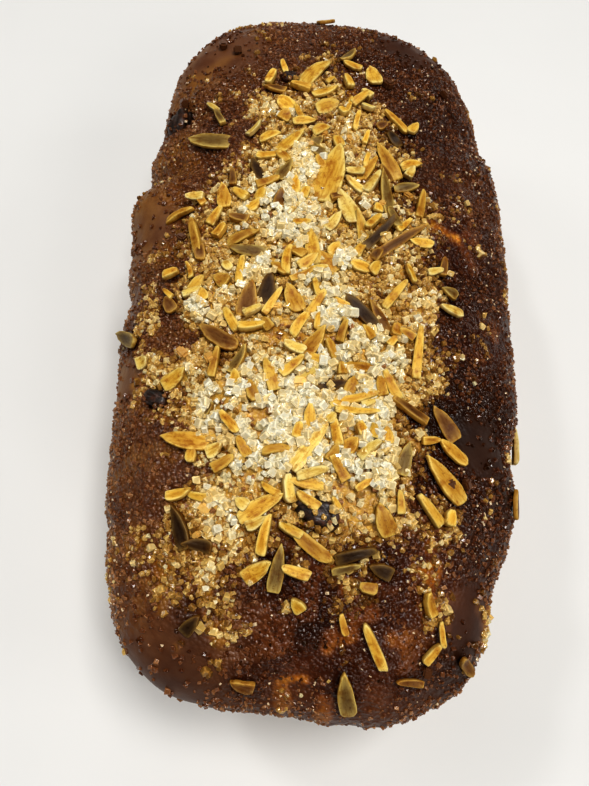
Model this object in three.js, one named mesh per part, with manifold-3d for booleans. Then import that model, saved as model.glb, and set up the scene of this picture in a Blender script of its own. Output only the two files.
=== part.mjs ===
// Raisin loaf: a long sweet loaf out of a tin, browned all over, with almonds and sugar baked
// into its crown and a few raisins that stand out of the crust.
// Millimetres. X runs across the loaf, Y along it and Z up. It rests on its flat base at z = 0.
import * as THREE from 'three';
import { mergeVertices } from 'three/addons/utils/BufferGeometryUtils.js';
import Module from 'manifold-3d';

const wasm = await Module();
wasm.setup();

// Driving sizes of the loaf
const LENGTH = 240;
const WIDTH = 119;
const HEIGHT = 92;
const BROW = 60; // height of the widest section, where the crust rises out of the tin
const LIP = 2.2; // how far the crust hangs over the wall under the brow
const WALL_SLOPE = 6.5; // how far the wall leans in between the lip and the base
const BASE_ROUND = 7;

// Form of the crown: powers of the rounded plan at each end, and of the dome over it
const FAR_CORNER = 2.93;
const NEAR_CORNER = 3.5;
const DOME = 2.41;
const TAPER = 0.037; // the far end is a little wider than the near one
const BEND = -1.7; // the ends lie a little to the left of the middle
const SKEW = -2.6; // and each end is cut slightly aslant
const MIDDLE = [-0.6, 0.1]; // plan place of the middle of the whole loaf

// Mesh steps
const STEPS_ACROSS = 26;
const STEPS_ALONG = 46;
const WELD = 1e-5;

// Broad swells and hollows of the dough: x, y, reach, rise
const SWELLS = [
  [-45, 92, 22, 2.2], // shoulder of the far strand
  [-55, 23, 9, 3.2], // step just nearer than the deep notch
  [-57, -4, 24, 1.0],
  [-45, -106, 20, 2.6], // near left corner
  [46, 64, 20, -1.8],
  [39, -52, 10, -1.6], // dark hollow on the right
  [34, -86, 10, -1.4],
  [53, -88, 14, -3.0], // pinched side near the right corner
  [-12, -119, 20, -1.4],
];

// Creases between the plaited strands: outer end, inner end, width, depth at the outer end
const CREASES = [
  [-51, 66, -24, 86, 5, 1.3], // stretched crust of the far left strand
  [-52, 57, -22, 53, 6, 2.4],
  [-63, 35, -31, 31, 5, 4.5], // deep notch
  [-60, -8, -42, -12, 6, 1.4],
  [50, 58, 20, 38, 7, 2.0],
  [48, -4, 24, 6, 5, 2.2], // tear
  [58, -52, 34, -38, 6, 2.4],
  [32, -110, 26, -88, 5, 1.6],
  [-6, -112, 9, -100, 5, 1.2],
];

// Coarse sugar makes the crust rough. It lies thickest along the middle.
const SUGAR_MIDDLE = [-3, -14];
const SUGAR_REACH = [40, 84];
const GRAIN_CELL = 7;
const GRAIN_RISE = 1.1;
const CLUMPS = 24;
const CLUMP_SIZE = [2.2, 3.6];

// Almonds that can be told apart: x, y, heading in degrees, length, width.
// Pieces wider than BROAD are cut slices, and the others are slivers.
const BROAD = 2.6;
const SLICE_THICKNESS = 1.2;
const ALMONDS = [
  // far end
  [-35, 39.5, 168, 16, 5.5],
  [-4, 70, 55, 16, 5],
  [-14, 72, 105, 7, 1.8],
  [-36, 56, 135, 7, 1.6],
  [-33, 49, 117, 9, 2],
  [-13, 54, 135, 7, 5],
  [0, 54, 25, 8, 5],
  [-1, 60.5, 25, 9, 3.5],
  [-16, 61, 165, 8, 3],
  [-11, 36, 45, 12, 3.8],
  [-17, 39, 25, 7, 3],
  [14.5, 70, 105, 9, 5],
  [8, 75, 150, 7, 3],
  [7, 81, 55, 8, 3.4],
  [6.5, 53, 75, 7, 1.6],
  [11.5, 40, 75, 6, 1.6],
  [21, 49, 132, 11, 2],
  [20, 42, 125, 7, 3],
  [0, 112, 30, 8, 3.5],
  // far half of the crown
  [1, 24.5, 76, 23, 8.5],
  [-20, 25.5, 115, 11, 3],
  [-12, 25, 60, 8, 3.5],
  [-17, 31, 0, 8, 2],
  [-9, 20, 95, 7, 3.4],
  [18, 31, 115, 16, 4],
  [12, 28, 60, 11, 3.5],
  [13, 21.5, 60, 9, 2.4],
  [17, 18, 98, 17, 3.5],
  [6, 13, 118, 12, 5],
  [10, 6, 100, 12, 3],
  [27, 16, 80, 11, 2.2],
  [14, 3, 50, 17, 2.6],
  [20, 2, 38, 22, 2.8],
  [2, 7, 55, 8, 3],
  [-3.5, -2, 95, 14, 4.2],
  [1, -6, 130, 9.5, 4.5],
  [9.5, -7, 165, 6, 3.4],
  [33, -4, 78, 7, 2.2],
  // left side
  [-42, 12.5, 10, 10, 2],
  [-36, 3, 106, 13, 2.6],
  [-29, 16, 100, 9, 4],
  [-31, 9, 60, 7, 2.5],
  [-23, 2, 22, 10, 3],
  [-21, -2.5, 175, 11, 3.3],
  [-22.5, -9.5, 85, 10, 2.2],
  [-10, -6, 85, 9, 2.4],
  [-20, -18.5, 78, 11, 5],
  [-15, -15, 85, 11, 4.4],
  [-8, -18, 115, 9, 4.5],
  [-23.5, -25, 122, 9, 2.5],
  [-27, -29.5, 148, 12.5, 4.5],
  [-21.5, -36, 58, 9, 3],
  [-27, -37, 80, 8.5, 2],
  [-38, -40.5, 30, 9, 4],
  [-41.5, -18, 125, 6, 3.4],
  [-54, -24.5, 159, 14, 4],
  [-33, -57, 172, 13.5, 4.6],
  [-25.5, -59.5, 30, 5, 3.6],
  [-23, -63, 32, 7, 2.6],
  // middle
  [-12.5, -40.5, 110, 11, 3.6],
  [-7.5, -37.5, 43, 8, 2.4],
  [-3.5, -39.5, 38, 8, 3],
  [10, -20.5, 134, 13, 3.6],
  [15, -22, 119, 11, 2.8],
  [19, -15, 54, 11, 2.3],
  [-2, -19.5, 60, 10, 2.4],
  [-6, -25.5, 58, 8, 2.6],
  [-2.5, -31, 54, 11.5, 4.2],
  [10, -36.5, 175, 8.5, 2.8],
  [3, -41.5, 8, 9, 3],
  [18, -41, 118, 8.5, 2.5],
  [25, -31.5, 84, 15.5, 2.4],
  [8, -45.5, 15, 14, 2.3],
  [23.5, -47.5, 150, 13, 2.2],
  [-2, -58, 55, 16.5, 3.6],
  [4.5, -54, 103, 7, 2.5],
  // right side
  [33, -49.5, 130, 12, 4],
  [21.5, -59.5, 75, 9, 3.6],
  [34.5, -56, 148, 9.5, 3.6],
  [32, -63.5, 135, 15, 4.8],
  [28.5, -71, 131, 10, 2.4],
  [60, -45, 85, 12, 2],
  [54, -65, 110, 8, 3],
  // near end
  [-32, -78.5, 108, 11.5, 3.6],
  [-27, -82, 172, 8, 3.2],
  [-13, -72.5, 32, 12.5, 4],
  [-11.5, -79, 80, 10, 2.4],
  [-13, -87, 35, 8.5, 4],
  [-8, -86.5, 82, 12, 3.4],
  [-1, -80, 142, 13.5, 3.4],
  [-2, -66.5, 175, 10, 3],
  [-3.5, -86.5, 165, 7, 2.6],
  [10, -82, 17, 10.5, 2.6],
  [17, -85, 160, 6.5, 3.4],
  [17, -74, 112, 8.5, 4.5],
  [-27.5, -99.5, 50, 7, 3.2],
  [-14, -112, 165, 7, 3.2],
  [10.5, -112, 99, 13, 4],
  [16, -101, 115, 12, 2.4],
  [30.5, -102, 58, 6, 2],
  [39.5, -103.5, 137, 9, 2.7],
  [25.5, -108, 168, 7, 1.6],
];
const LOOSE_ALMONDS = 8; // the smaller pieces among them
const LOOSE_SPACING = 6.5;

// Raisins: name, x, y, heading, three radii, how deep the middle lies under the crust
const RAISINS = [
  ['raisin_crown', 1, -73, 150, [6.2, 4.2, 3.4], 0.6],
  ['raisin_left', -49, 57, 80, [6.5, 5.0, 4.2], 0.4],
  ['raisin_brim', -58, 31, 70, [4.6, 3.4, 2.8], 0.6],
  ['raisin_flank', -43, -45, 155, [3.8, 2.8, 2.4], 0.4],
  ['raisin_far', -12, 68, 20, [2.9, 2.6, 2.3], 0.3],
];
const RAISIN_GAP = 0.3;
const RAISIN_SIDES = 12;
const RAISIN_RINGS = 9;
const RAISIN_FOLDS = 4;
const FOLD_DEPTH = 0.12;

const SEED = 41;

// Seeded random draw between 0 and 1
function makeDraw(seed) {
  let state = seed;
  return () => {
    state = (state + 0x6d2b79f5) | 0;
    let mixed = Math.imul(state ^ (state >>> 15), 1 | state);
    mixed = (mixed + Math.imul(mixed ^ (mixed >>> 7), 61 | mixed)) ^ mixed;
    return ((mixed ^ (mixed >>> 14)) >>> 0) / 4294967296;
  };
}

const between = (draw, low, high) => low + (high - low) * draw();
const smooth = (t) => {
  const held = Math.min(1, Math.max(0, t));
  return held * held * (3 - 2 * held);
};

// How far out a place lies in the plan: 0 on the middle, 1 on the brow. Both inputs are
// fractions of the half width and half length.
const cornerPower = (along) => (along > 0 ? FAR_CORNER : NEAR_CORNER);
function planReach(across, along) {
  const power = cornerPower(along);
  return (Math.abs(across) ** power + Math.abs(along) ** power) ** (1 / power);
}

function outward(across, along) {
  const power = cornerPower(along);
  const reach = Math.min(1, Math.max(planReach(across, along), 1e-6));
  const lift = (1 - reach ** DOME) ** (1 / DOME);
  const steepness = reach ** (DOME - power);
  return new THREE.Vector3(
    (Math.sign(across) * Math.abs(across) ** (power - 1) * steepness) / (WIDTH / 2),
    (Math.sign(along) * Math.abs(along) ** (power - 1) * steepness) / (LENGTH / 2),
    lift ** (DOME - 1) / (HEIGHT - BROW),
  ).normalize();
}

// Value noise on a square lattice, -1 to 1
function lattice(column, row) {
  const wave = Math.sin(column * 127.1 + row * 311.7) * 43758.5453;
  return 2 * (wave - Math.floor(wave)) - 1;
}
function noise(x, y) {
  const column = Math.floor(x);
  const row = Math.floor(y);
  const right = smooth(x - column);
  const up = smooth(y - row);
  const low = lattice(column, row) * (1 - right) + lattice(column + 1, row) * right;
  const high = lattice(column, row + 1) * (1 - right) + lattice(column + 1, row + 1) * right;
  return low * (1 - up) + high * up;
}

function swell(x, y, [middleX, middleY, reach, rise]) {
  const squared = ((x - middleX) ** 2 + (y - middleY) ** 2) / reach ** 2;
  return rise * Math.exp(-squared);
}

// A crease is deepest at its outer end and runs out towards the crown
function crease(x, y, [outerX, outerY, innerX, innerY, width, depth]) {
  const runX = innerX - outerX;
  const runY = innerY - outerY;
  const part = ((x - outerX) * runX + (y - outerY) * runY) / (runX ** 2 + runY ** 2);
  const held = Math.min(1, Math.max(0, part));
  const aside = Math.hypot(x - outerX - held * runX, y - outerY - held * runY);
  return -depth * (1 - 0.8 * held) * Math.exp(-((aside / width) ** 2));
}

// 1 where the sugar lies thick, and 0 well away from the middle
function sugarCover(x, y) {
  const out = Math.hypot((x - SUGAR_MIDDLE[0]) / SUGAR_REACH[0], (y - SUGAR_MIDDLE[1]) / SUGAR_REACH[1]);
  return 1 - smooth((out - 0.6) / 0.7);
}

function relief(x, y) {
  const swells = SWELLS.reduce((sum, form) => sum + swell(x, y, form), 0);
  const creases = CREASES.reduce((sum, form) => sum + crease(x, y, form), 0);
  const grains = GRAIN_RISE * (0.35 + 0.65 * sugarCover(x, y)) * noise(x / GRAIN_CELL, y / GRAIN_CELL);
  return swells + creases + grains;
}

// Taper, bend and skew of the whole loaf, applied to a place of the straight loaf
function lean(point) {
  const along = point.y / (LENGTH / 2);
  const x = point.x * (1 + TAPER * along) + BEND * (along ** 2 - 0.4);
  const y = point.y + SKEW * (x / (WIDTH / 2)) * along ** 2;
  return new THREE.Vector3(x - MIDDLE[0], y - MIDDLE[1], point.z);
}

// Place on the finished crust over a plan place
function crustPoint(across, along) {
  const x = (across * WIDTH) / 2;
  const y = (along * LENGTH) / 2;
  const reach = Math.min(1, planReach(across, along));
  const z = BROW + (HEIGHT - BROW) * (1 - reach ** DOME) ** (1 / DOME);
  const bare = lean(new THREE.Vector3(x, y, z));
  return bare.addScaledVector(outward(across, along), relief(x, y));
}

// Square step place, -1 to 1 each way, to fractions of the plan. Steps grow even on the dome.
function planPlace(column, row) {
  const out = Math.max(Math.abs(column), Math.abs(row));
  if (out === 0) return [0, 0];
  const across = column / out;
  const along = row / out;
  const spread = Math.sin((out * Math.PI) / 2) ** (2 / DOME) / planReach(across, along);
  return [across * spread, along * spread];
}

// Places round the edge of the step square, anticlockwise from the near left corner
function edgeSteps() {
  const steps = [];
  for (let i = 0; i < STEPS_ACROSS; i++) steps.push([i, 0]);
  for (let j = 0; j < STEPS_ALONG; j++) steps.push([STEPS_ACROSS, j]);
  for (let i = STEPS_ACROSS; i > 0; i--) steps.push([i, STEPS_ALONG]);
  for (let j = STEPS_ALONG; j > 0; j--) steps.push([0, j]);
  return steps;
}

// Rings of the wall under the brow: height, how far in from the brow, share of the crust's relief
function wallRings() {
  const foot = LIP + WALL_SLOPE;
  return [
    [BROW - 4, 0.6, 0.8],
    [BROW - 9, LIP, 0.3],
    [BASE_ROUND, foot, 0],
    [BASE_ROUND * 0.3, foot + BASE_ROUND * 0.3, 0],
    [0, foot + BASE_ROUND, 0],
  ];
}

function makeCore() {
  const points = [];
  const faces = [];
  const topIndex = (i, j) => j * (STEPS_ACROSS + 1) + i;
  for (let j = 0; j <= STEPS_ALONG; j++) {
    for (let i = 0; i <= STEPS_ACROSS; i++) {
      const place = planPlace((2 * i) / STEPS_ACROSS - 1, (2 * j) / STEPS_ALONG - 1);
      points.push(crustPoint(...place));
    }
  }
  for (let j = 0; j < STEPS_ALONG; j++) {
    for (let i = 0; i < STEPS_ACROSS; i++) {
      const corners = [topIndex(i, j), topIndex(i + 1, j), topIndex(i + 1, j + 1), topIndex(i, j + 1)];
      faces.push([corners[0], corners[1], corners[2]]);
      faces.push([corners[0], corners[2], corners[3]]);
    }
  }
  const edge = edgeSteps();
  let above = edge.map(([i, j]) => topIndex(i, j));
  for (const [height, inset, share] of wallRings()) {
    const ring = edge.map(([i, j]) => {
      const [across, along] = planPlace((2 * i) / STEPS_ACROSS - 1, (2 * j) / STEPS_ALONG - 1);
      const x = (across * WIDTH) / 2;
      const y = (along * LENGTH) / 2;
      const bare = lean(new THREE.Vector3(x, y, height));
      points.push(bare.addScaledVector(outward(across, along), share * relief(x, y) - inset));
      return points.length - 1;
    });
    ring.forEach((index, k) => {
      const next = (k + 1) % ring.length;
      faces.push([above[k], index, ring[next]]);
      faces.push([above[k], ring[next], above[next]]);
    });
    above = ring;
  }
  points.push(new THREE.Vector3(0, 0, 0));
  const centre = points.length - 1;
  above.forEach((index, k) => faces.push([index, centre, above[(k + 1) % above.length]]));
  const geometry = new THREE.BufferGeometry().setFromPoints(points);
  geometry.setIndex(faces.flat());
  return geometry;
}

// Stance of a piece that lies on the crust: x forward along the heading, z out of the crust
function stance(x, y, heading, pitch, roll, raise) {
  const across = x / (WIDTH / 2);
  const along = y / (LENGTH / 2);
  const normal = outward(across, along);
  const turn = THREE.MathUtils.degToRad(heading);
  const forward = new THREE.Vector3(Math.cos(turn), Math.sin(turn), 0);
  forward.addScaledVector(normal, -forward.dot(normal)).normalize();
  const side = new THREE.Vector3().crossVectors(normal, forward);
  const matrix = new THREE.Matrix4().makeBasis(forward, side, normal);
  matrix.setPosition(crustPoint(across, along).addScaledVector(normal, raise));
  matrix.multiply(new THREE.Matrix4().makeRotationY(-pitch));
  return matrix.multiply(new THREE.Matrix4().makeRotationX(roll));
}

// A flat almond piece, more pointed at its front end
function almondPlate(length, width, thickness, sides) {
  const outline = [];
  for (let i = 0; i < sides; i++) {
    const turn = (2 * Math.PI * i) / sides;
    const half = (width / 2) * (1 - 0.25 * Math.cos(turn));
    outline.push(new THREE.Vector2((length / 2) * Math.cos(turn), half * Math.sin(turn)));
  }
  const settings = { depth: thickness, bevelEnabled: false };
  return new THREE.ExtrudeGeometry(new THREE.Shape(outline), settings).translate(0, 0, -thickness / 2);
}

function makeAlmond([x, y, heading, length, width], draw) {
  const isSlice = width > BROAD;
  const pitch = between(draw, 0.02, isSlice ? 0.16 : 0.1);
  const roll = between(draw, -0.3, 0.3);
  const thickness = isSlice ? SLICE_THICKNESS : width * 0.8;
  const plate = almondPlate(length, width, thickness, isSlice ? 8 : 6);
  return plate.applyMatrix4(stance(x, y, heading, pitch, roll, 0.3 * thickness));
}

// Smaller almonds between the ones above, denser where the sugar lies thick
function looseAlmonds(draw) {
  const placed = ALMONDS.concat(RAISINS.map(([, x, y]) => [x, y]));
  const loose = [];
  while (loose.length < LOOSE_ALMONDS) {
    const x = between(draw, -WIDTH / 2, WIDTH / 2) * 0.85;
    const y = between(draw, -LENGTH / 2, LENGTH / 2) * 0.85;
    const isWanted = draw() < sugarCover(x, y) ** 2 + 0.03;
    const isClear = placed.every(([otherX, otherY]) => Math.hypot(x - otherX, y - otherY) > LOOSE_SPACING);
    if (isWanted && isClear) {
      const almond = [x, y, between(draw, 0, 180), between(draw, 5, 9), between(draw, 1.8, 3.6)];
      loose.push(almond);
      placed.push(almond);
    }
  }
  return loose;
}

// Clumps of coarse sugar, the largest grains of the crust
function makeClump(draw) {
  let x = 0;
  let y = 0;
  do {
    x = between(draw, -WIDTH / 2, WIDTH / 2) * 0.9;
    y = between(draw, -LENGTH / 2, LENGTH / 2) * 0.9;
  } while (draw() > sugarCover(x, y) + 0.2 || planReach(x / (WIDTH / 2), y / (LENGTH / 2)) > 0.95);
  const size = between(draw, ...CLUMP_SIZE);
  const clump = new THREE.BoxGeometry(size, size * between(draw, 0.6, 1), size * 0.7);
  const pitch = between(draw, -0.5, 0.5);
  const roll = between(draw, -0.5, 0.5);
  return clump.applyMatrix4(stance(x, y, between(draw, 0, 360), pitch, roll, 0.15 * size));
}

// A shrivelled ellipsoid with folds running along it
function makeRaisin([, x, y, heading, radii, depth], extra) {
  const ball = new THREE.SphereGeometry(1, RAISIN_SIDES, RAISIN_RINGS).rotateZ(Math.PI / 2);
  const corners = ball.attributes.position;
  const point = new THREE.Vector3();
  for (let i = 0; i < corners.count; i++) {
    point.fromBufferAttribute(corners, i);
    const turn = Math.atan2(point.z, point.y);
    const fold = 1 - FOLD_DEPTH * (1 - point.x ** 2) * (1 + Math.cos(RAISIN_FOLDS * turn + 2 * point.x));
    point.multiply(new THREE.Vector3(radii[0] + extra, radii[1] + extra, radii[2] + extra));
    corners.setXYZ(i, point.x, point.y * fold, point.z * fold);
  }
  return ball.applyMatrix4(stance(x, y, heading, 0, 0, -depth));
}

function weld(geometry) {
  const bare = geometry.clone();
  bare.deleteAttribute('normal');
  bare.deleteAttribute('uv');
  return mergeVertices(bare, WELD);
}

function toSolid(geometry) {
  const welded = weld(geometry);
  return new wasm.Manifold(
    new wasm.Mesh({
      numProp: 3,
      vertProperties: new Float32Array(welded.attributes.position.array),
      triVerts: new Uint32Array(welded.index.array),
    }),
  );
}

function toGeometry(solid) {
  const mesh = solid.getMesh();
  const geometry = new THREE.BufferGeometry();
  geometry.setAttribute('position', new THREE.BufferAttribute(mesh.vertProperties, 3));
  geometry.setIndex(new THREE.BufferAttribute(mesh.triVerts, 1));
  geometry.computeVertexNormals();
  return geometry;
}

// The largest body alone: loose scraps and sealed hollows are dropped
function largest(solid) {
  const bodies = solid.decompose();
  return bodies.reduce((best, body) => (body.volume() > best.volume() ? body : best));
}

function makeLoaf() {
  const draw = makeDraw(SEED);
  const toppings = ALMONDS.map((almond) => makeAlmond(almond, draw));
  for (const almond of looseAlmonds(draw)) toppings.push(makeAlmond(almond, draw));
  for (let i = 0; i < CLUMPS; i++) toppings.push(makeClump(draw));
  const fused = wasm.Manifold.union([toSolid(makeCore()), ...toppings.map(toSolid)]);
  const sockets = RAISINS.map((raisin) => toSolid(makeRaisin(raisin, RAISIN_GAP)));
  return toGeometry(largest(wasm.Manifold.difference([fused, ...sockets])));
}

function makeMaterial(color, roughness) {
  return new THREE.MeshStandardMaterial({ color, roughness });
}

function addMesh(group, name, geometry, material) {
  const mesh = new THREE.Mesh(geometry, material);
  mesh.name = name;
  group.add(mesh);
}

const group = new THREE.Group();
group.name = 'raisin_loaf';
addMesh(group, 'loaf', makeLoaf(), makeMaterial(0x7a4a2a, 0.6));
for (const raisin of RAISINS) {
  addMesh(group, raisin[0], weld(makeRaisin(raisin, 0)), makeMaterial(0x1d1512, 0.45));
}

export default group;
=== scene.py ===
# Looks of the raisin loaf: browned crust, almonds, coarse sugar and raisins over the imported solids.
# The forms are worked out in millimetres, with the same rules as the solids, and made in metres.
import math
from types import SimpleNamespace

import bmesh
import bpy
import numpy as np
from mathutils import Matrix, Vector

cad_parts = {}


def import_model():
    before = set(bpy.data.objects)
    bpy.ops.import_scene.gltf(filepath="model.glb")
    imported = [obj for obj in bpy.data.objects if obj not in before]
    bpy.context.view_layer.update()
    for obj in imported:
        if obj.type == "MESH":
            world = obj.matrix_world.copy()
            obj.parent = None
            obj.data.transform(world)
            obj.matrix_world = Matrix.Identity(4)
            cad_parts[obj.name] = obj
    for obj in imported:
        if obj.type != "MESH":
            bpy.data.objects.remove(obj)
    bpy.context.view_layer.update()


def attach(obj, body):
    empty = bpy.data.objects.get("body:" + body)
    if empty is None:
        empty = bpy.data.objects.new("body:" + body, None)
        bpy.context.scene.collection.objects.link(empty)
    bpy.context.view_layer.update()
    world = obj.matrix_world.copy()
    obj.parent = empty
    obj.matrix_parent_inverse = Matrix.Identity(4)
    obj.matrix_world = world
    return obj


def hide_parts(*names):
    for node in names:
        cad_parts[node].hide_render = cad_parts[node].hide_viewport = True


MM = 0.001

# Driving sizes of the loaf, as in the solids
LENGTH = 240
WIDTH = 119
HALF_LENGTH = LENGTH / 2
HALF_WIDTH = WIDTH / 2
HEIGHT = 92
BROW = 60
LIP = 2.2
WALL_SLOPE = 6.5
BASE_ROUND = 7

# Its outline: powers of the corners and the dome, taper, bend and skew, and the middle of its box
FAR_CORNER = 2.93
NEAR_CORNER = 3.5
DOME = 2.41
TAPER = 0.037
BEND = -1.7
BEND_LEVEL = 0.4  # squared share of the way out at which a bent thing is not moved
SKEW = -2.6
MIDDLE = (-0.6, 0.1)

# Swells and hollows of the dough: x, y, reach, rise
SWELLS = (
    (-45, 92, 22, 2.2), (-55, 23, 9, 3.2), (-57, -4, 24, 1.0), (-45, -106, 20, 2.6),
    (46, 64, 20, -1.8), (39, -52, 10, -1.6), (34, -86, 10, -1.4), (53, -88, 14, -3.0),
    (-12, -119, 20, -1.4),
)

# Creases between the strands: outer end, inner end, width, depth at the outer end
CREASES = (
    (-51, 66, -24, 86, 5, 1.3), (-52, 57, -22, 53, 6, 2.4), (-63, 35, -31, 31, 5, 4.5),
    (-60, -8, -42, -12, 6, 1.4), (50, 58, 20, 38, 7, 2.0), (48, -4, 24, 6, 5, 2.2),
    (58, -52, 34, -38, 6, 2.4), (32, -110, 26, -88, 5, 1.6), (-6, -112, 9, -100, 5, 1.2),
)

CREASE_FADE = 0.8  # share of the depth that is gone at the inner end

# Stretched crust that browned less: outer end, inner end, width, strength
PALE_MARKS = (
    (-50, 67, -24, 86, 3, 0.25), (38, 8, 30, 11, 1.6, 1.6), (45, 0, 38, 8, 1.4, 1.1),
    (58, 20, 40, 30, 4, 0.3), (-2, -108, 9, -101, 4, 0.5), (-40, -101, -20, -104, 7, 0.35),
    (16, -112, 26, -108, 6, 0.35),
)

# The sugared part of the crown, and the bumps of its sugar as in the solids
SUGAR_MIDDLE = (-3, -14)
SUGAR_REACH = (40, 84)
GRAIN_CELL = 7
GRAIN_RISE = 1.1
PLAIN_RELIEF = 0.35  # share of the bumps where there is no sugar
BARE_RELIEF = 0.12  # share of the fine relief on bare crust
WALL_ROUGHNESS = 0.25

# Numbers behind the noise, as in the solids
LATTICE_WEIGHTS = (127.1, 311.7, 74.7)
LATTICE_GAIN = 43758.5453

# Where the sugar stayed pale: x, y, reach, strength
PALE_SUGAR = (
    # white crystals
    (-18, 56, 8, 0.4), (-13, 49, 5, 0.4), (-4, 31, 5, 0.4), (-5, 25, 5, 0.6), (-15, 17, 8, 0.5),
    (-9, 1, 7, 0.45), (-16, -8, 5, 0.5), (-1, -11, 6, 0.5), (6, -6, 5, 0.45), (3, -22, 5, 0.4),
    (7, -30, 8, 0.55), (-1, -35, 5, 0.45), (18, -29, 5, 0.4), (13, -40, 5, 0.5),
    (-19, -40, 6, 0.45), (-6, -45, 7, 0.4), (-9, -52, 7, 0.8), (-27, -50, 9, 0.4),
    (14, -50, 6, 0.5), (13, -57, 6, 0.5), (25, -55, 3, 0.6), (-15, -60, 7, 0.4), (9, -68, 10, 0.6),
    (15, -64, 6, 0.3), (-25, -73, 9, 0.5), (-33, -20, 5, 0.45), (-47, -21, 5, 0.35),
    # amber crystals of the flanks and the ends
    (-38, -8, 12, 0.2), (-45, -36, 6, 0.45), (-36, -38, 7, 0.3), (-36, -30, 7, -0.15),
    (-32, -82, 12, 0.26), (-24, -94, 11, 0.3), (-52, -64, 12, -0.2), (12, -89, 8, 0.3),
    (30, -77, 11, 0.3), (34, -36, 8, 0.22), (30, -14, 8, 0.22), (36, 17, 6, 0.25),
    (30, -94, 4, 0.3), (50, -98, 6, 0.45), (2, 76, 10, 0.2), (-1, 60, 6, 0.35), (8, 50, 8, 0.25),
)

# Golden glaze with few crystals on it: x, y, reach
GLAZE = (
    (-12, -28, 6), (-25, -46, 5), (13, -73, 5), (4, 10, 5), (-2, -14, 4), (-14, -66, 5), (6, 62, 5),
    (-16, 10, 4),
)

# Sugar that melted to a dark glaze: x, y, reach
MELTED = (
    (8, -102, 22), (30, -86, 10), (46, -22, 8), (38, 6, 9),
)

# Bare crust with almost no sugar: x, y, reach
BARE_CRUST = (
    (-38, 84, 17), (-54, 12, 12), (-55, -38, 7), (-35, -113, 16), (42, -95, 9), (43, -53, 9),
    (30, 96, 14),
)

# Crust that browned more, with painted shade in the small hollows at (-22, -58) and (28, -49): x, y, reach,
# strength
DARK_CRUST = (
    (2, -97, 14, 0.34), (42, -50, 16, 0.22), (40, -18, 14, 0.14), (34, 62, 22, 0.1),
    (20, 92, 18, 0.1), (-52, 57, 8, 0.15), (-24, -84, 9, 0.15), (38, 4, 9, 0.14),
    (-32, -109, 17, 0.11), (-38, 84, 17, 0.08), (-22, -58, 4, 0.4), (28, -49, 5, 0.2),
)

# Colours as they look in the finished picture, from scorched to pale
CRUST_TONES = ((28, 7, 0), (54, 24, 8), (94, 53, 26), (172, 112, 30), (236, 184, 76))
WALL_TONES = ((78, 44, 24), (150, 98, 52), (204, 152, 92), (222, 176, 116))
# The palest brown tone is reached only by grains painted as glints
BROWN_TONES = ((30, 8, 0), (62, 26, 8), (102, 58, 30), (148, 100, 60), (232, 204, 162))
GOLD_TONES = ((84, 46, 10), (160, 112, 44), (224, 180, 96), (252, 234, 176))
WHITE_TONES = ((196, 158, 82), (241, 214, 148), (255, 249, 219))
RAISIN_TONES = ((16, 8, 4), (60, 28, 14))
FLOOR_TONES = ((236, 235, 232), (240, 239, 236))
BRIGHTEST = 0.96
CLEAR = 1.6  # crystals pass light on to each other, so they look brighter than their surface is

# How the picture shows light: what a white patch sends up, the grey that stays, the contrast
DAYLIGHT = 0.88
GREY = 0.18
CONTRAST = 1.32

# Where the crown is on its row of tones, 0 to 1, and how much sugar and stretching change that
CROWN_TONE = 0.4
# Darker to the right and towards the near end: partly browning, partly painted shade
TONE_ACROSS = -0.18
TONE_ALONG = 0.05
MARK_TONE = 0.3
GLAZE_TONE = 0.3
PALE_TONE = 0.64
MELTED_TINT = (0.2, -0.04, -0.4)  # how much more of each colour there is under melted sugar

# Shares of red, green and blue kept by stains, by painted shade between beads, and, over 1, by painted light
# through syrup
CRUST_STAIN = (0.74, 0.62, 0.48)
GAP_SHADE = (0.56, 0.42, 0.3)
SYRUP_LIGHT = (1.6, 1.35, 1)
CRYSTAL_STAIN = (0.92, 0.84, 0.7)
STREAK_STAIN = (0.76, 0.64, 0.42)
BLOTCH_STAIN = (0.64, 0.46, 0.24)
FLECK_STAIN = (0.5, 0.38, 0.24)
STREAK_SCALE = (0.3, 1.3, 1)
NOISE_ROUGHNESS = 0.6
BEAD = 1.0  # size of the beads of melted sugar
SUGAR_BENDING = 1.5  # how strongly sugar bends light

# Colours of almonds: face, rim, toasted middle
ALMOND_TONES = {
    "gold": ((232, 178, 56), (252, 224, 124), (190, 122, 26)),
    "amber": ((196, 138, 38), (246, 206, 96), (140, 86, 18)),
    "pale": ((238, 202, 94), (254, 236, 158), (216, 162, 52)),
    "olive": ((116, 88, 38), (220, 188, 94), (60, 40, 12)),
    "brown": ((110, 66, 20), (214, 166, 72), (58, 32, 7)),
    "dark": ((52, 32, 12), (134, 100, 44), (24, 12, 3)),
}

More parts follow.
